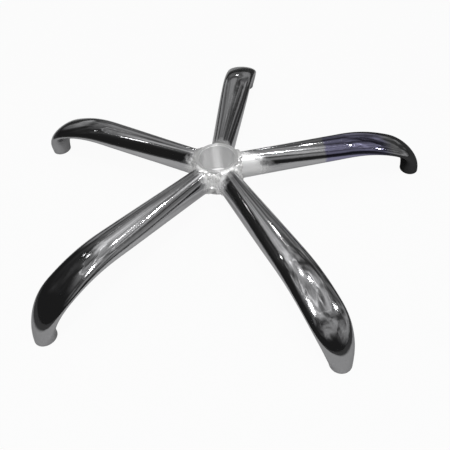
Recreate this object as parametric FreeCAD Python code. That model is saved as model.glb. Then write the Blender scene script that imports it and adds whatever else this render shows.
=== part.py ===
import FreeCAD, Part
import math
import os

# Five star base of an office chair: a turned hub sleeve with the taper bore for the gas
# lift, five drawn oval tube arms welded round it, and a caster socket in the down-turned
# mouth of each arm. The origin is the middle of the hub's top face, +Z is up and the
# first arm lies along +X. Sizes are in millimetres, angles in degrees.

# Star
arm_count = 5
mouth_circle_radius = 300.0    # hub axis to the middle of a tube's mouth
base_height = 85.5             # floor to the hub's top face

# Hub sleeve
hub_outer_radius = 30.0
hub_rim = 1.25                 # hub left standing above and below the arms
hub_edge_radius = 1.0
taper_mouth_radius = 25.0      # where the taper would meet the hub's top face
taper_half_angle = 1.4378
mouth_chamfer = 1.2

# Arm tube: width and height of its oval at four places along it
arm_wall = 2.0
root_width = 32.0
root_height = 42.0
shoulder_width = 45.5
shoulder_height = 28.0
bend_width = 49.0
bend_height = 16.5
mouth_width = 28.0
mouth_height = 27.0

# Centre line of an arm, from the hub outwards
rise_angle = 2.0
wide_bend_radius = 172.0
wide_bend_angle = 26.3
tight_bend_radius = 60.0
mouth_lean = 6.0               # how far the mouth points outwards from straight down
oval_spacing = 16.0            # between the ovals that a skin is drawn through

# Weld bead round the root of an arm
weld_leg = 4.0
weld_toe_depth = 0.5           # how far the bead's cone runs in under the tube's skin

# Caster socket
stem_radius = 5.5
stem_depth = 22.5
stem_inset = 2.0               # stem axis from the middle of the mouth, towards the hub
stem_lead_in = 1.0
socket_roof = 3.0              # socket left above the stem hole
socket_clearance = 0.1         # between the socket and the inside of the tube

arm_step = 360.0 / arm_count
half_step = math.radians(arm_step / 2)
hub_height = root_height + 2 * hub_rim
root_axis_z = -hub_rim - root_height / 2
floor_z = -base_height
UP = FreeCAD.Vector(0, 0, 1)
ORIGIN = FreeCAD.Vector(0, 0, 0)


def monotone_slopes(xs, ys):
    """Slopes of a smooth curve through the points that never overshoots them."""
    rates = [(ys[i + 1] - ys[i]) / (xs[i + 1] - xs[i]) for i in range(len(xs) - 1)]
    slopes = [rates[0]]
    for before, after in zip(rates, rates[1:]):
        same_way = before * after > 0
        slopes.append(2 * before * after / (before + after) if same_way else 0.0)
    slopes.append(1.5 * rates[-1] - 0.5 * slopes[-1])
    return slopes


def smooth_value(xs, ys, x):
    """Value at x of the smooth curve through the points, held level past both ends."""
    x = min(max(x, xs[0]), xs[-1])
    slopes = monotone_slopes(xs, ys)
    i = max(n for n in range(len(xs) - 1) if xs[n] <= x)
    h = xs[i + 1] - xs[i]
    t = (x - xs[i]) / h
    near = (1 + 2 * t) * (1 - t) ** 2 * ys[i] + t * (1 - t) ** 2 * h * slopes[i]
    far = t * t * (3 - 2 * t) * ys[i + 1] + t * t * (t - 1) * h * slopes[i + 1]
    return near + far


class ArmLine:
    """Centre line of an arm in its own upright plane: X outwards, Z up.

    A straight rise from the hub, a wide bend over, a tight bend down and a straight drop
    to the floor. The rise and the drop are as long as the mouth circle and the base height
    ask. Lengths along the line are counted from the hub's outer face.
    """

    def __init__(self):
        self.rise = math.radians(rise_angle)
        self.wide = math.radians(wide_bend_angle)
        over = self.rise - self.wide
        end = math.radians(mouth_lean - 90)
        self.tight = over - end
        wide_x = wide_bend_radius * (math.sin(self.rise) - math.sin(over))
        wide_z = wide_bend_radius * (math.cos(over) - math.cos(self.rise))
        tight_x = tight_bend_radius * (math.sin(over) - math.sin(end))
        tight_z = tight_bend_radius * (math.cos(end) - math.cos(over))
        left_x = mouth_circle_radius - hub_outer_radius - wide_x - tight_x
        left_z = floor_z - root_axis_z - wide_z - tight_z
        spread = math.sin(end - self.rise)
        self.straight = (left_x * math.sin(end) - left_z * math.cos(end)) / spread
        drop = (left_z * math.cos(self.rise) - left_x * math.sin(self.rise)) / spread
        self.wide_end = self.straight + wide_bend_radius * self.wide
        self.tight_end = self.wide_end + tight_bend_radius * self.tight
        self.length = self.tight_end + drop

    def at(self, s):
        """Point and direction angle at length s; both ends run on straight."""
        run = min(s, self.straight)
        angle = self.rise
        x = hub_outer_radius + run * math.cos(angle)
        z = root_axis_z + run * math.sin(angle)
        wide = (self.straight, wide_bend_radius, self.wide)
        tight = (self.wide_end, tight_bend_radius, self.tight)
        for start, radius, turn in (wide, tight):
            t = min(max((s - start) / radius, 0.0), turn)
            x += radius * (math.sin(angle) - math.sin(angle - t))
            z += radius * (math.cos(angle - t) - math.cos(angle))
            angle -= t
        run = max(s - self.tight_end, 0.0)
        return FreeCAD.Vector(x + run * math.cos(angle), 0, z + run * math.sin(angle)), angle


def half_oval(line, s):
    """Half width and half height of the tube's oval at length s."""
    places = [0.0, line.straight, line.wide_end, line.length]
    widths = [root_width, shoulder_width, bend_width, mouth_width]
    heights = [root_height, shoulder_height, bend_height, mouth_height]
    return smooth_value(places, widths, s) / 2, smooth_value(places, heights, s) / 2


def oval_wire(centre, angle, half_width, half_height):
    """Oval square to the line: its width is level and its height in the arm's plane.

    A unit circle is stretched and placed by a matrix, so that every oval starts on the
    same side and the skin through them doesn't twist where the long axis turns over.
    """
    circle = Part.Circle(ORIGIN, FreeCAD.Vector(1, 0, 0), 1).toShape()
    c = math.cos(angle)
    s = math.sin(angle)
    place = FreeCAD.Matrix(
        c, 0, -s * half_height, centre.x,
        0, half_width, 0, centre.y,
        s, 0, c * half_height, centre.z,
        0, 0, 0, 1,
    )
    return Part.Wire([circle.transformGeometry(place)])


def tube_skin(line, inset, first, last):
    """Solid oval bar along the centre line, inset from the tube's outer skin.

    The ovals are counted from the mouth, first to last, so that skins of any length and
    inset are drawn through the same places.
    """
    wires = []
    for i in range(first, last + 1):
        s = line.length + i * oval_spacing
        centre, angle = line.at(s)
        half_width, half_height = half_oval(line, s)
        wires.append(oval_wire(centre, angle, half_width - inset, half_height - inset))
    return Part.makeLoft(wires, True, False)


def level_slab(low, high):
    """Level slab between two heights, wider than the whole star."""
    side = 4 * mouth_circle_radius
    return Part.makeBox(side, side, high - low, FreeCAD.Vector(-side / 2, -side / 2, low))


def hub_bar():
    """Round bar of the hub's outer size that runs past the whole base."""
    return Part.makeCylinder(hub_outer_radius, 4 * base_height, UP * (-2 * base_height))


def arm_sector():
    """Upright wedge that one arm has to itself, between the planes halfway to its neighbours."""
    reach = 2 * hub_outer_radius
    side = reach * math.tan(half_step)
    corners = [(0, 0), (reach, -side), (reach, side), (0, 0)]
    outline = Part.makePolygon([FreeCAD.Vector(x, y, -2 * base_height) for x, y in corners])
    return Part.Face(outline).extrude(UP * (4 * base_height))


def make_hub():
    """Turned sleeve: rounded outer edges, taper bore and a chamfer at each mouth."""

    def point(x, z):
        return FreeCAD.Vector(x, 0, z)

    def straight(a, b):
        return Part.LineSegment(a, b).toShape()

    def rounded(a, middle, b):
        return Part.Arc(a, middle, b).toShape()

    slope = math.tan(math.radians(taper_half_angle))
    foot_z = -hub_height
    foot_radius = taper_mouth_radius - hub_height * slope
    edge = hub_outer_radius - hub_edge_radius
    round_off = hub_edge_radius * (1 - math.sqrt(0.5))
    top_inner = point(taper_mouth_radius + mouth_chamfer, 0)
    top_outer = point(edge, 0)
    side_top = point(hub_outer_radius, -hub_edge_radius)
    side_foot = point(hub_outer_radius, foot_z + hub_edge_radius)
    foot_outer = point(edge, foot_z)
    foot_inner = point(foot_radius + mouth_chamfer, foot_z)
    bore_foot = point(foot_radius + mouth_chamfer * slope, foot_z + mouth_chamfer)
    bore_top = point(taper_mouth_radius - mouth_chamfer * slope, -mouth_chamfer)
    outline = [
        straight(top_inner, top_outer),
        rounded(top_outer, point(hub_outer_radius - round_off, -round_off), side_top),
        straight(side_top, side_foot),
        rounded(side_foot, point(hub_outer_radius - round_off, foot_z + round_off), foot_outer),
        straight(foot_outer, foot_inner),
        straight(foot_inner, bore_foot),
        straight(bore_foot, bore_top),
        straight(bore_top, top_inner),
    ]
    return Part.Face(Part.Wire(outline)).revolve(ORIGIN, UP, 360)


def make_arm(outer, inner):
    """Oval tube coped to the hub and cut level at the floor."""
    below = level_slab(floor_z - 2 * base_height, floor_z)
    return outer.cut(inner).cut(hub_bar()).cut(below)


def make_weld(line, outer):
    """Fillet bead round the root of an arm, mitred to the next arm's bead."""
    inside = hub_outer_radius * (math.cos(half_step) - 1)
    wires = []
    for s, offset in ((inside, weld_leg), (weld_leg, -weld_toe_depth)):
        centre, angle = line.at(s)
        half_width, half_height = half_oval(line, s)
        wires.append(oval_wire(centre, angle, half_width + offset, half_height + offset))
    cone = Part.makeLoft(wires, True, True)
    return cone.common(arm_sector()).cut(hub_bar()).cut(outer)


def make_socket(line, last):
    """Plug that fills the tube's mouth, with an upright hole for a caster's stem."""
    height = stem_depth + socket_roof
    first = -math.ceil(3 * height / oval_spacing)
    plug = tube_skin(line, arm_wall + socket_clearance, first, last)
    body = plug.common(level_slab(floor_z, floor_z + height))
    foot = FreeCAD.Vector(mouth_circle_radius - stem_inset, 0, floor_z)
    hole = Part.makeCylinder(stem_radius, stem_depth, foot)
    lead_in = Part.makeCone(stem_radius + stem_lead_in, stem_radius, stem_lead_in, foot)
    return body.cut(hole.fuse(lead_in))


def main():
    os.makedirs("parts", exist_ok=True)
    line = ArmLine()
    first = -math.ceil((line.length + hub_outer_radius / 2) / oval_spacing)
    last = math.ceil(mouth_height / oval_spacing)
    outer = tube_skin(line, 0.0, first, last)
    inner = tube_skin(line, arm_wall, first - 1, last + 1)
    pieces = {
        "arm": make_arm(outer, inner),
        "weld": make_weld(line, outer),
        "caster_socket": make_socket(line, last),
    }
    make_hub().exportStep("parts/hub.step")
    for k in range(arm_count):
        for name, shape in pieces.items():
            turned = shape.copy()
            turned.rotate(ORIGIN, UP, k * arm_step)
            turned.exportStep(f"parts/{name}_{k + 1}.step")


main()
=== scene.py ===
import math

import bpy
import numpy as np
from mathutils import Matrix, Vector


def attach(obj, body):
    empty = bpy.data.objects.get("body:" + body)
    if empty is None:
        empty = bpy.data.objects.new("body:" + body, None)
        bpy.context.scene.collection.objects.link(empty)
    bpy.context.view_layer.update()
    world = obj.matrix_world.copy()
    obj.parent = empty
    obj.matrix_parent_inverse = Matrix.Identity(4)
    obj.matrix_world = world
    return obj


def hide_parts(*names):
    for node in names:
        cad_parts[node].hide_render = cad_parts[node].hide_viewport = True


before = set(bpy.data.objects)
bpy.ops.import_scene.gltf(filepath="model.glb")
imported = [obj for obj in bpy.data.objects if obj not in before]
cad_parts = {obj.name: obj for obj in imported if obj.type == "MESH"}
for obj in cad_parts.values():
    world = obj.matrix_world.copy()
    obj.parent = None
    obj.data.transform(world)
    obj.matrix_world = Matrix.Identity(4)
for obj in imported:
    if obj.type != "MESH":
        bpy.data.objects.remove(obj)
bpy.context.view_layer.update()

# Five star base of an office chair: looks, floor, light and camera. Lengths are in metres.

# The base as the solids have it
arm_count = 5
arm_step = 2 * math.pi / arm_count
hub_radius = 0.030
hub_top = 0.0
hub_foot = -0.0445
bare_radius = 0.0292           # inside this the hub is bare steel
mouth_radius = 0.0252          # where the rim begins
root_half_width = 0.016
root_half_height = 0.021
root_axis_z = -0.02225
floor_z = -0.0855

# Weld beads
bead_steps = 260               # places along a bead
profile_steps = 14             # places across its face
bead_lumps = (4, 7, 11, 15, 19)    # lumps per turn
bead_lump_sizes = (0.05, 0.13)
ripple_count = 30
ripple_depth = 0.09            # share of the bead's size
ripple_slant = 2.2
bead_swell = 0.10
lump_share = 0.8
hub_leg_length = 0.0034
arm_leg_length = 0.0042
hub_leg_extra = 0.0022         # longer legs beside the arm
arm_leg_extra = 0.0016
edge_gap = 0.00005             # bead kept this far inside the hub's ends
sunk = 0.0006                  # hidden edges of a bead, under the skins
bead_seed = 40
crotch_seed = 70

# Fill of the crotch between two arms
crotch_steps = 48
crotch_sides = 36
crotch_middle_z = -0.0185
crotch_half_height = 0.0145
crotch_radius = 0.0300         # hub axis to the middle of the fill
crotch_lap = 0.0008
crotch_half_width = 0.0038
crotch_depth = 0.0040
crotch_lumps = (4, 7, 11)
crotch_lump_sizes = (0.03, 0.08)
crotch_end = 0.995             # the fill stops just short of its pointed ends

# Each arm's frost next to the weld: how far it reaches from the hub's axis and how much it
# leans; then the strength of the violet film on the arm's outer half
root_looks = {
    1: (0.044, 1.2, 0.9),
    2: (0.036, 0.0, 0.0),
    3: (0.035, -0.3, 0.0),
    4: (0.036, -0.25, 0.0),
    5: (0.037, 0.6, 0.0),
}
frost_fade = 1.6               # the frost is gone at this many times its reach
film_start = (0.156, 0.160)    # along the arm, where the film comes in
film_end = (0.248, 0.262)      # and where it fades out

# Painted shade on the beads: their colour grows darker from the first Y to the second, down to a
# share of it
bead_shade_y = (-0.024, 0.03)
bead_shade_share = 0.3

# Glows of the room: azimuth, elevation, cosines where it starts and is full, level
room_glows = [
    (40, 80, 0.72, 0.99, 0.34),
    (75, 22, 0.60, 0.98, 0.22),
    (-14, 30, 0.70, 0.99, 0.27),
    (140, 46, 0.86, 0.99, 0.03),
    (112, 63, 0.955, 0.995, 0.30),
    (-76, 50, 0.86, 0.99, 0.21),
    (108, 8, 0.95, 0.995, 0.18),
    (34, 12, 0.92, 0.99, 0.20),
]
# Rings of ceiling light: azimuth, elevation, cosine of the angle from there to the ring, level
room_rings = [(20, 78, 0.955, 0.7), (60, 70, 0.80, 0.5)]
ring_edges = (0.002, 0.009)    # how far from that cosine a ring is full, and where it ends
ring_wobble = 0.16
room_noise = (0.36, 0.64)      # the noise between these makes the room dimmer or brighter,
room_patches = (0.12, 1.7)     # from one of these shares to the other
mirror_veil = 0.02             # share of plain white that mirrored rays see

# Lamps: azimuth, elevation, width, height, power
lamp_distance = 5.0
mirrored_lamps = {
    "ceiling_lamp": (24, 78, 0.15, 0.15, 22.0),
    "high_right_lamp": (3, 66, 0.20, 0.20, 9.0),
    "front_lamp": (-93, 68, 0.30, 0.30, 70.0),
    "right_lamp": (-11, 41, 0.30, 0.30, 14.0),
    "rear_left_lamp": (146, 57, 0.20, 0.30, 1.2),
    "low_left_lamp": (141, 44, 0.12, 0.16, 0.3),
    "rear_lamp": (66, 47, 0.12, 0.16, 1.2),
    "low_rear_lamp": (80, 11, 0.20, 0.12, 1.6),
}
box_distance = 2.2
soft_boxes = {
    "soft_box": (-95, 65, 1.6, 1.6, 42.0),
    "side_box": (165, 50, 1.2, 1.2, 12.0),
}

# Floor
floor_reach = 40.0
floor_white = 0.95             # share of plain white that camera rays see
floor_pale = (0.26, 0.02)      # share of white that mirrored rays see, under the star and outside
floor_pale_radii = (0.22, 0.34)
floor_oval_middle = (-0.05, 0.05, 0.0)    # mirrored rays see the floor dark beyond this oval,
floor_oval_half = (0.29, 0.62, 1.0)       # given by its half lengths,
floor_oval_edge = (0.95, 1.12)            # with an edge this wide in shares of them


# Shader nodes

def add_node(tree, kind, **settings):
    """One shader node with its settings by name. Nodes stand in rows in the node editor."""
    columns, width, height = 8, 220, 260
    node = tree.nodes.new(kind)
    row, column = divmod(len(tree.nodes), columns)
    node.location = (width * column, -height * row)
    for name, value in settings.items():
        setattr(node, name, value)
    return node


def put(socket, value):
    """Links another node's output to an input, or sets a constant on it."""
    if isinstance(value, bpy.types.NodeSocket):
        socket.id_data.links.new(value, socket)
    else:
        socket.default_value = value


def feed(node, **values):
    """Puts values on a node's inputs; a name's underscores stand for spaces."""
    for name, value in values.items():
        put(node.inputs[name.replace("_", " ")], value)
    return node


def feed_in_turn(node, *values):
    """Puts values on a node's inputs in their order, for inputs that share a name."""
    for socket, value in zip(node.inputs, values):
        put(socket, value)
    return node


def grey(level):
    """Neutral colour of one level."""
    return (level, level, level, 1.0)


def calculate(tree, operation, *terms):
    """Result of a math node."""
    node = feed_in_turn(add_node(tree, "ShaderNodeMath", operation=operation), *terms)
    return node.outputs["Value"]


def vector_value(tree, operation, *terms):
    """Number that a vector math node makes of its vectors, such as a length."""
    node = feed_in_turn(add_node(tree, "ShaderNodeVectorMath", operation=operation), *terms)
    return node.outputs["Value"]


def split(tree, vector):
    """X, Y and Z of a vector, by name."""
    return feed(add_node(tree, "ShaderNodeSeparateXYZ"), Vector=vector).outputs


def placed(tree, vector, **values):
    """Vector turned, moved or stretched by a mapping node."""
    return feed(add_node(tree, "ShaderNodeMapping"), Vector=vector, **values).outputs["Vector"]


def noise(tree, vector, scale, detail=2.0, roughness=0.5, distortion=0.0):
    """Cloudy value from 0 to 1, with about scale clouds to each unit of the vector."""
    node = feed(add_node(tree, "ShaderNodeTexNoise"), Vector=vector, Scale=scale, Detail=detail,
                Roughness=roughness, Distortion=distortion)
    return node.outputs["Fac"]


def ramp(tree, value, low=0.0, high=1.0, start=0.0, end=1.0, smooth=False):
    """Value that runs from start to end while another runs from low to high, level past both."""
    kind = "SMOOTHSTEP" if smooth else "LINEAR"
    node = feed(add_node(tree, "ShaderNodeMapRange", interpolation_type=kind), Value=value,
                From_Min=low, From_Max=high, To_Min=start, To_Max=end)
    return node.outputs["Result"]


def blend(tree, factor, first, second, data_type="RGBA", blend_type="MIX"):
    """Colour, or with data_type FLOAT a number, between two."""
    node = add_node(tree, "ShaderNodeMix", data_type=data_type, blend_type=blend_type)
    return feed(node, Factor=factor, A=first, B=second).outputs["Result"]


def bumped(tree, height, strength, distance):
    """Normal of a surface with a bump."""
    node = feed(add_node(tree, "ShaderNodeBump"), Height=height, Strength=strength,
                Distance=distance)
    return node.outputs["Normal"]


def shader_mix(tree, share, first, second):
    """Shader between two, the second by its share."""
    node = feed_in_turn(add_node(tree, "ShaderNodeMixShader"), share, first, second)
    return node.outputs["Shader"]


def ray_masks(tree):
    """Mask of camera rays, and mask of rays that were mirrored or went through something."""
    ray = add_node(tree, "ShaderNodeLightPath").outputs
    mirrored = calculate(tree, "MAXIMUM", ray["Is Glossy Ray"], ray["Is Transmission Ray"])
    return ray["Is Camera Ray"], mirrored


# Shared effects

def new_group(name, inputs, outputs):
    """Empty node group with float or vector inputs and float outputs."""
    group = bpy.data.node_groups.new(name, "ShaderNodeTree")
    for socket, kind in inputs.items():
        group.interface.new_socket(socket, in_out="INPUT", socket_type=kind)
    for socket in outputs:
        group.interface.new_socket(socket, in_out="OUTPUT", socket_type="NodeSocketFloat")
    return group, add_node(group, "NodeGroupInput").outputs, add_node(group, "NodeGroupOutput")


def use_group(tree, group, **values):
    """Outputs of a node group placed in a material with its own values."""
    return feed(add_node(tree, "ShaderNodeGroup", node_tree=group), **values).outputs


def polish_group():
    """Marks of polishing and handling on bright plate: hairlines along X, a slow waviness of
    the drawn skin and hazy smudges. Height is for a bump, Haze and Tone are masks."""
    group, given, result = new_group(
        "polish_marks",
        {"Coordinate": "NodeSocketVector", "Hairlines": "NodeSocketFloat",
         "Waviness": "NodeSocketFloat"},
        ["Height", "Haze", "Tone"])
    place = given["Coordinate"]
    hair_stretch = (7.0, 800.0, 800.0)
    wave_stretch = (14.0, 60.0, 60.0)
    hair = noise(group, placed(group, place, Scale=hair_stretch), 1.0, detail=3.0, roughness=0.6)
    wave = noise(group, placed(group, place, Scale=wave_stretch), 1.0, roughness=0.4)
    smudge = noise(group, place, 26.0, detail=7.0, roughness=0.68)
    hair_height = calculate(group, "MULTIPLY", hair, given["Hairlines"])
    wave_height = calculate(group, "MULTIPLY", wave, given["Waviness"])
    feed(result,
         Height=calculate(group, "ADD", hair_height, wave_height),
         Haze=ramp(group, smudge, 0.48, 0.76),
         Tone=ramp(group, hair, 0.30, 0.70))
    return group


def speck_group():
    """Specks of dust and pinholes: small round dots, a few per square centimetre, as a mask."""
    group, given, result = new_group(
        "fine_specks", {"Coordinate": "NodeSocketVector", "Spacing": "NodeSocketFloat"}, ["Mask"])
    place = given["Coordinate"]
    cells = feed(add_node(group, "ShaderNodeTexVoronoi"), Vector=place, Scale=given["Spacing"])
    dot = ramp(group, cells.outputs["Distance"], 0.05, 0.12, 1.0, 0.0)
    patch = ramp(group, noise(group, place, 55.0), 0.52, 0.66)
    feed(result, Mask=calculate(group, "MULTIPLY", dot, patch))
    return group


def ring_group():
    """Distance of a point from the hub's axis, and marks of turning: rings that depend on the
    height alone. Radius is in metres, Rings is a height for a bump."""
    group, given, result = new_group(
        "turning_marks", {"Coordinate": "NodeSocketVector"}, ["Radius", "Rings"])
    part = split(group, given["Coordinate"])
    flat = feed(add_node(group, "ShaderNodeCombineXYZ"), X=part["X"], Y=part["Y"]).outputs["Vector"]
    rings = feed(add_node(group, "ShaderNodeTexNoise", noise_dimensions="1D"),
                 W=part["Z"], Scale=2600.0, Detail=2.0)
    feed(result, Radius=vector_value(group, "LENGTH", flat), Rings=rings.outputs["Fac"])
    return group


polish_marks = polish_group()
fine_specks = speck_group()
turning_marks = ring_group()


# Finishes

def new_finish(name):
    """Material with its Principled shader and Object coordinates."""
    material = bpy.data.materials.new(name)
    material.use_nodes = True
    tree = material.node_tree
    place = add_node(tree, "ShaderNodeTexCoord").outputs["Object"]
    return material, tree, tree.nodes["Principled BSDF"], place


def violet_film(tree, surface, along, outward, strength):
    """Colour of a surface under a thin violet film between two ragged ends."""
    raggedness = 0.012
    violet = (0.46, 0.44, 0.75, 1.0)
    edge = noise(tree, along, 60.0)
    ragged = calculate(tree, "MULTIPLY_ADD", edge, raggedness, outward)
    start = ramp(tree, ragged, *film_start, 0.0, strength)
    end = ramp(tree, ragged, *film_end, 1.0, 0.0)
    film = calculate(tree, "MULTIPLY", start, end)
    return blend(tree, film, surface, violet, blend_type="MULTIPLY")


def bright_plate(name, azimuth, frost, lean, tint):
    """Polished plating on an arm. The hairlines run along the arm, smudges dull it here and
    there, specks of dust lie on it, and a thin clear coat gives its bright spots a soft glare.
    It is burnt to a pale frost next to the weld. With X along the arm the frost starts to fade,
    raggedly, near X = frost - lean * Y. tint is the strength of the violet film on the outer
    half of one arm."""
    material, tree, shader, place = new_finish(name)
    blotch_reach = 0.022
    speck_roughness = 0.4
    frost_roughness = 0.26
    along = placed(tree, place, Rotation=(0.0, 0.0, -azimuth))
    part = split(tree, along)
    marks = use_group(tree, polish_marks, Coordinate=along, Hairlines=0.01, Waviness=0.5)
    specks = use_group(tree, fine_specks, Coordinate=along, Spacing=420.0)["Mask"]

    blotch = noise(tree, along, 150.0, detail=3.0)
    reach = calculate(tree, "MULTIPLY_ADD", blotch, blotch_reach, part["X"])
    slant = calculate(tree, "MULTIPLY_ADD", part["Y"], lean, reach)
    root = ramp(tree, slant, frost, frost_fade * frost, 1.0, 0.0, smooth=True)

    surface = blend(tree, marks["Tone"], (0.46, 0.46, 0.47, 1.0), (0.57, 0.57, 0.58, 1.0))
    surface = blend(tree, root, surface, grey(0.80))
    if tint:
        surface = violet_film(tree, surface, along, part["X"], tint)
    surface = blend(tree, specks, surface, (0.75, 0.75, 0.73, 1.0))
    dull = ramp(tree, marks["Haze"], start=0.06, end=0.12)
    dusty = calculate(tree, "MULTIPLY_ADD", specks, speck_roughness, dull)
    feed(shader,
         Base_Color=surface,
         Metallic=ramp(tree, root, start=1.0, end=0.35),
         Roughness=calculate(tree, "MULTIPLY_ADD", root, frost_roughness, dusty),
         Specular_Tint=(0.45, 0.45, 0.46, 1.0),
         Coat_Weight=1.0,
         Coat_Roughness=0.13,
         Normal=bumped(tree, marks["Height"], strength=0.25, distance=0.002))
    return material


def hub_finish():
    """Steel sleeve, bare and turned in the bore and on the rim, with rings of turning; its outer
    skin is plate burnt to a pale frost by the welds."""
    material, tree, shader, place = new_finish("hub_sleeve")
    bore_roughness = 0.54
    rim_blend = 0.0006
    round_axis = add_node(tree, "ShaderNodeTangent", direction_type="RADIAL", axis="Z")
    turned = use_group(tree, turning_marks, Coordinate=place)
    marks = use_group(tree, polish_marks, Coordinate=place, Hairlines=0.05, Waviness=0.8)
    bare = ramp(tree, turned["Radius"], bare_radius, hub_radius, 1.0, 0.0)
    rim = ramp(tree, turned["Radius"], mouth_radius, mouth_radius + rim_blend, 0.0, 0.9)

    steel = blend(tree, turned["Rings"], grey(0.84), grey(0.95))
    steel = blend(tree, rim, steel, grey(0.46))
    frost = blend(tree, marks["Haze"], grey(0.62), (0.82, 0.82, 0.81, 1.0))
    dull = ramp(tree, marks["Haze"], start=0.34, end=0.48)
    height = blend(tree, bare, marks["Height"], turned["Rings"], data_type="FLOAT")
    feed(shader,
         Base_Color=blend(tree, bare, frost, steel),
         Metallic=ramp(tree, bare, start=0.35, end=0.55),
         Roughness=blend(tree, bare, dull, bore_roughness, data_type="FLOAT"),
         Anisotropic=1.0,
         Anisotropic_Rotation=0.25,
         Tangent=round_axis.outputs["Tangent"],
         Normal=bumped(tree, height, strength=0.2, distance=0.001))
    return material


def bead_finish():
    """Plating over a hand-laid bead: bright on the lumps, darker where it is pitted, and darkened
    towards +Y by painted shade."""
    material, tree, shader, place = new_finish("bead_plate")
    pits = noise(tree, place, 300.0)
    lump = ramp(tree, pits, 0.38, 0.62)
    specks = use_group(tree, fine_specks, Coordinate=place, Spacing=650.0)["Mask"]
    # painted shade: the beads' colour darkens towards +Y
    painted_rear_shade = ramp(tree, split(tree, place)["Y"], *bead_shade_y, 1.0, bead_shade_share)
    surface = blend(tree, lump, (0.85, 0.85, 0.84, 1.0), grey(0.94))
    surface = blend(tree, specks, surface, (0.70, 0.69, 0.68, 1.0))
    feed(shader,
         Base_Color=blend(tree, 1.0, surface, painted_rear_shade, blend_type="MULTIPLY"),
         Metallic=0.55,
         Roughness=ramp(tree, lump, start=0.40, end=0.28),
         Normal=bumped(tree, pits, strength=0.04, distance=0.0005))
    return material


def socket_finish():
    """Moulded black plastic with a fine spark-eroded grain and paler rubbed spots."""
    material, tree, shader, place = new_finish("socket_plastic")
    grain = noise(tree, place, 1800.0)
    specks = use_group(tree, fine_specks, Coordinate=place, Spacing=500.0)["Mask"]
    surface = blend(tree, grain, (0.014, 0.014, 0.015, 1.0), (0.032, 0.032, 0.034, 1.0))
    feed(shader,
         Base_Color=blend(tree, specks, surface, grey(0.11)),
         Roughness=ramp(tree, grain, start=0.42, end=0.62),
         Normal=bumped(tree, grain, strength=0.3, distance=0.0003))
    return material


def dress(node, material):
    """Gives a CAD node its finish."""
    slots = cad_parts[node].data.materials
    slots.clear()
    slots.append(material)


# Weld beads

def unit(vectors):
    """Vectors [places, xyz] brought to length 1."""
    return vectors / np.linalg.norm(vectors, axis=1, keepdims=True)


def lump_sum(dice, sizes, counts, angle):
    """Sum of a * cos(n * angle + b) over the counts n, with a within sizes and b drawn by dice."""
    return sum(dice.uniform(*sizes) * np.cos(n * angle + dice.uniform(0, 2 * np.pi))
               for n in counts)


def bead_points(azimuth, seed):
    """Bead round an arm's root, as points [along the joint, round the profile, xyz].

    The joint is where the arm's oval meets the hub: at angle t, y = half width * cos t,
    z = axis + half height * sin t, x = sqrt(hub radius squared - y squared). From each of its
    points one leg lies on the hub and one on the arm, and the face between the two toes is
    a quarter of an ellipse, swollen by ripples slanted along the bead and by slow lumps. The
    last three points of the profile lie just under the skins, so that the bead is closed.
    """
    around = np.linspace(0, 2 * np.pi, bead_steps, endpoint=False)
    y = root_half_width * np.cos(around)
    z = root_axis_z + root_half_height * np.sin(around)
    x = np.sqrt(hub_radius ** 2 - y ** 2)
    joint = np.stack([x, y, z], -1)
    tangent = unit(np.roll(joint, -1, 0) - np.roll(joint, 1, 0))
    hub_normal = np.stack([x, y, 0 * z], -1) / hub_radius
    arm_normal = unit(np.stack(
        [0 * x, np.cos(around) / root_half_width, np.sin(around) / root_half_height], -1))
    on_hub = np.cross(tangent, hub_normal)
    on_hub *= np.sign((on_hub * arm_normal).sum(1, keepdims=True))
    on_arm = np.cross(arm_normal, tangent)
    on_arm *= np.sign((on_arm * hub_normal).sum(1, keepdims=True))

    lumps = lump_sum(np.random.RandomState(seed), bead_lump_sizes, bead_lumps, around)
    beside = np.cos(around) ** 2
    tiny = 1e-6
    rise = np.maximum(on_hub[:, 2], tiny)
    fall = np.maximum(-on_hub[:, 2], tiny)
    hub_leg = hub_leg_length + hub_leg_extra * beside
    hub_leg = np.minimum(hub_leg, (hub_top - edge_gap - z) / rise)
    hub_leg = np.minimum(hub_leg, (z - hub_foot - edge_gap) / fall)
    arm_leg = (arm_leg_length + arm_leg_extra * beside) * (1 + lump_share * lumps)

    swing = np.linspace(0, np.pi / 2, profile_steps)[None, :]
    slanted = ripple_count * around[:, None] + ripple_slant * np.cos(2 * swing)
    relief = bead_swell + ripple_depth * np.cos(slanted) + lump_share * lumps[:, None]
    swell = 1 + np.sin(2 * swing) * relief
    up_hub = hub_leg[:, None] * np.cos(swing) * swell
    along_arm = arm_leg[:, None] * np.sin(swing) * swell
    face = (joint[:, None, :]
            + up_hub[..., None] * on_hub[:, None, :]
            + along_arm[..., None] * on_arm[:, None, :])
    toe_arm = face[:, -1] - sunk * arm_normal
    corner = joint - sunk * (hub_normal + arm_normal)
    toe_hub = face[:, 0] - sunk * hub_normal
    points = np.concatenate([face, toe_arm[:, None], corner[:, None], toe_hub[:, None]], 1)
    points[..., 2] = np.clip(points[..., 2], hub_foot, hub_top)
    c = math.cos(azimuth)
    s = math.sin(azimuth)
    return points @ np.array([[c, s, 0], [-s, c, 0], [0, 0, 1]])


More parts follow.
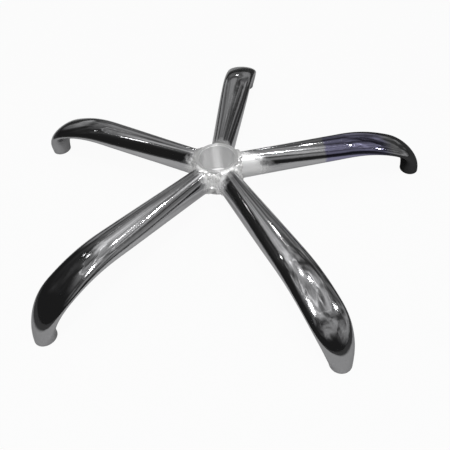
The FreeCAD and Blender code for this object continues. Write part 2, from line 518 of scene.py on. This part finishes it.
def crotch_points(azimuth, seed):
    """Fill of the crotch between an arm and the next, as points [up, round the section, xyz].

    At height z the section is an ellipse on the plane halfway between the two arms. Its half
    width spans the gap between the two ovals with a little lap,
    (r sin h - half width * sqrt(1 - ((z - axis) / half height)^2)) / cos h + lap, with h half the
    step between arms. Width and depth draw in towards both ends as (1 - u^4)^(1/2) and swell
    with lumps along the fill.
    """
    half_step = arm_step / 2
    up = np.linspace(-crotch_end, crotch_end, crotch_steps)
    z = crotch_middle_z + crotch_half_height * up
    oval = root_half_width * np.sqrt(1 - ((z - root_axis_z) / root_half_height) ** 2)
    gap = (crotch_radius * math.sin(half_step) - oval) / math.cos(half_step)
    lumps = lump_sum(np.random.RandomState(seed), crotch_lump_sizes, crotch_lumps, up)
    ends = np.sqrt(1 - up ** 4) * (1 + lumps)
    width = np.minimum(gap + crotch_lap, crotch_half_width) * ends
    depth = crotch_depth * ends
    around = np.linspace(0, 2 * np.pi, crotch_sides, endpoint=False)
    out = crotch_radius + depth[:, None] * np.cos(around)[None, :]
    side = width[:, None] * np.sin(around)[None, :]
    turn = azimuth + half_step
    x = out * math.cos(turn) - side * math.sin(turn)
    y = out * math.sin(turn) + side * math.cos(turn)
    return np.stack([x, y, np.broadcast_to(z[:, None], x.shape)], -1)


def shell_faces(points, ring):
    """Faces of a closed shell of points [rows, columns, xyz], wound outwards.

    Columns join up round the section. Rows join up too in a ring; otherwise the first and the
    last row are closed by a flat face.
    """
    rows, columns, _ = points.shape
    index = np.arange(rows * columns).reshape(rows, columns)
    ahead = np.roll(index, -1, 0)
    quads = np.stack([index, ahead, np.roll(ahead, -1, 1), np.roll(index, -1, 1)], -1)
    if not ring:
        quads = quads[:-1]
    quads = quads.reshape(-1, 4)
    flat = points.reshape(-1, 3)
    a, b, c, d = (flat[quads[:, n]] - flat.mean(0) for n in range(4))
    volume = (np.cross(b, c) * a).sum() + (np.cross(c, d) * a).sum()
    faces = quads.tolist()
    if not ring:
        faces += [index[0].tolist(), index[-1, ::-1].tolist()]
    return faces if volume > 0 else [face[::-1] for face in faces]


def make_bead(number, material):
    """Bead round an arm's root, with the fill of the crotch next to it, as one piece."""
    name = f"weld_bead_{number}"
    azimuth = (number - 1) * arm_step
    bead_ring = bead_points(azimuth, bead_seed + number)
    fill_up = crotch_points(azimuth, crotch_seed + number)
    first = bead_ring.shape[0] * bead_ring.shape[1]
    points = np.concatenate([bead_ring.reshape(-1, 3), fill_up.reshape(-1, 3)])
    faces = shell_faces(bead_ring, True)
    faces += [[first + corner for corner in face] for face in shell_faces(fill_up, False)]
    mesh = bpy.data.meshes.new(name)
    mesh.from_pydata(points.tolist(), [], faces)
    mesh.polygons.foreach_set("use_smooth", np.ones(len(faces), bool))
    mesh.update()
    mesh.materials.append(material)
    bead = bpy.data.objects.new(name, mesh)
    bpy.context.scene.collection.objects.link(bead)
    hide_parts(f"weld_{number}")
    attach(bead, "root")


dress("hub", hub_finish())
bead_plate = bead_finish()
socket_plastic = socket_finish()
for number in range(1, arm_count + 1):
    azimuth = (number - 1) * arm_step
    frost, lean, tint = root_looks[number]
    dress(f"arm_{number}", bright_plate(f"arm_{number}_plate", azimuth, frost, lean, tint))
    dress(f"caster_socket_{number}", socket_plastic)
    make_bead(number, bead_plate)


# Floor, light and camera

def floor_material():
    """Matt pale floor. Camera rays see it mostly as plain white, with a little of the shadow.
    Mirrored rays see it paler under the star, and dark beyond an oval round the star."""
    material = bpy.data.materials.new("studio_white")
    material.use_nodes = True
    tree = material.node_tree
    tree.nodes.clear()
    matt = feed(add_node(tree, "ShaderNodeBsdfDiffuse"), Color=grey(0.27)).outputs["BSDF"]
    dark = feed(add_node(tree, "ShaderNodeBsdfDiffuse"), Color=grey(0.04)).outputs["BSDF"]
    white = feed(add_node(tree, "ShaderNodeEmission"), Strength=1.0).outputs["Emission"]
    place = add_node(tree, "ShaderNodeTexCoord").outputs["Object"]
    flatten = add_node(tree, "ShaderNodeVectorMath", operation="MULTIPLY")
    level = feed_in_turn(flatten, place, (1.0, 1.0, 0.0)).outputs["Vector"]
    oval = feed(add_node(tree, "ShaderNodeMapping", vector_type="TEXTURE"), Vector=level,
                Location=floor_oval_middle, Scale=floor_oval_half).outputs["Vector"]
    off = vector_value(tree, "LENGTH", level)
    apart = vector_value(tree, "LENGTH", oval)
    under = ramp(tree, off, *floor_pale_radii, *floor_pale, smooth=True)
    beyond = ramp(tree, apart, *floor_oval_edge, smooth=True)

    seen, mirrored = ray_masks(tree)
    pale = calculate(tree, "MAXIMUM",
                     calculate(tree, "MULTIPLY", seen, floor_white),
                     calculate(tree, "MULTIPLY", mirrored, under))
    gloom = calculate(tree, "MULTIPLY", mirrored, beyond)
    surface = shader_mix(tree, gloom, shader_mix(tree, pale, matt, white), dark)
    feed(add_node(tree, "ShaderNodeOutputMaterial"), Surface=surface)
    return material


def make_floor():
    """Floor level with the tube mouths."""
    mesh = bpy.data.meshes.new("studio_floor")
    sides = [(-1, -1), (1, -1), (1, 1), (-1, 1)]
    corners = [(floor_reach * x, floor_reach * y, floor_z) for x, y in sides]
    mesh.from_pydata(corners, [], [(0, 1, 2, 3)])
    mesh.materials.append(floor_material())
    floor = bpy.data.objects.new("studio_floor", mesh)
    bpy.context.scene.collection.objects.link(floor)


def heading(azimuth, elevation):
    """Unit vector towards an azimuth and an elevation in degrees."""
    a = math.radians(azimuth)
    e = math.radians(elevation)
    return Vector((math.cos(e) * math.cos(a), math.cos(e) * math.sin(a), math.sin(e)))


def make_world():
    """Dim room round the floor: soft glows, each round one direction, and two wobbling rings of
    ceiling light, all made uneven by slow noise. Camera rays see plain white instead, and
    mirrored rays a thin veil of it."""
    world = bpy.data.worlds.new("studio_room")
    bpy.context.scene.world = world
    world.use_nodes = True
    tree = world.node_tree
    place = add_node(tree, "ShaderNodeTexCoord").outputs["Generated"]
    uneven = noise(tree, place, 3.2, distortion=0.8)
    lights = []
    for azimuth, elevation, low, high, level in room_glows:
        facing = vector_value(tree, "DOT_PRODUCT", place, heading(azimuth, elevation))
        lights.append(ramp(tree, facing, low, high, 0.0, level, smooth=True))
    for azimuth, elevation, middle, level in room_rings:
        facing = vector_value(tree, "DOT_PRODUCT", place, heading(azimuth, elevation))
        wobbling = calculate(tree, "MULTIPLY_ADD", uneven, ring_wobble, facing)
        off = calculate(tree, "SUBTRACT", wobbling, middle + ring_wobble / 2)
        away = calculate(tree, "ABSOLUTE", off)
        lights.append(ramp(tree, away, *ring_edges, level, 0.0, smooth=True))
    total = lights[0]
    for light in lights[1:]:
        total = calculate(tree, "ADD", total, light)
    patch = ramp(tree, uneven, *room_noise, *room_patches)
    dim = feed(tree.nodes["Background"], Color=calculate(tree, "MULTIPLY", total, patch))
    white = feed(add_node(tree, "ShaderNodeBackground"), Color=grey(1.0))

    seen, mirrored = ray_masks(tree)
    share = calculate(tree, "MAXIMUM", seen, calculate(tree, "MULTIPLY", mirrored, mirror_veil))
    room = shader_mix(tree, share, dim.outputs["Background"], white.outputs["Background"])
    feed(tree.nodes["World Output"], Surface=room)


def make_lamp(name, azimuth, elevation, width, height, power, distance, mirrored):
    """Lamp aimed at the hub. One that isn't mirrored lights matt surfaces alone."""
    lamp = bpy.data.lights.new(name, "AREA")
    lamp.shape = "ELLIPSE"
    lamp.size = width
    lamp.size_y = height
    lamp.energy = power
    body = bpy.data.objects.new(name, lamp)
    body.location = heading(azimuth, elevation) * distance
    body.rotation_euler = (-body.location).to_track_quat("-Z", "Y").to_euler()
    body.visible_glossy = mirrored
    bpy.context.scene.collection.objects.link(body)


def make_camera():
    """Camera at the photograph's angle: focal length and middle in pixels of a 450 square."""
    picture = 450.0
    focal = 503.388
    middle = (258.186, 195.403)
    distance = 0.760784
    yaw = math.radians(-4.205)
    roll = math.radians(6.09)
    away = heading(-94.698, 46.357) * distance
    ahead = -away.normalized()
    right = ahead.cross(Vector((0, 0, 1))).normalized()
    up = right.cross(ahead)
    swing = Matrix.Rotation(yaw, 3, up)
    ahead = swing @ ahead
    right = swing @ right
    tip = Matrix.Rotation(roll, 3, ahead)
    right = tip @ right
    up = tip @ up
    camera = bpy.data.cameras.new("camera")
    camera.sensor_fit = "HORIZONTAL"
    camera.sensor_width = 36.0
    camera.lens = focal / picture * camera.sensor_width
    camera.shift_x = 0.5 - middle[0] / picture
    camera.shift_y = middle[1] / picture - 0.5
    camera.clip_start = 0.01
    body = bpy.data.objects.new("camera", camera)
    turn = Matrix((right, up, -ahead)).transposed().to_4x4()
    body.matrix_world = Matrix.Translation(away + Vector((0, 0, floor_z))) @ turn
    bpy.context.scene.collection.objects.link(body)
    bpy.context.scene.camera = body


make_floor()
make_world()
for name, values in mirrored_lamps.items():
    make_lamp(name, *values, lamp_distance, True)
for name, values in soft_boxes.items():
    make_lamp(name, *values, box_distance, False)
make_camera()
bpy.context.scene.view_settings.view_transform = "Standard"
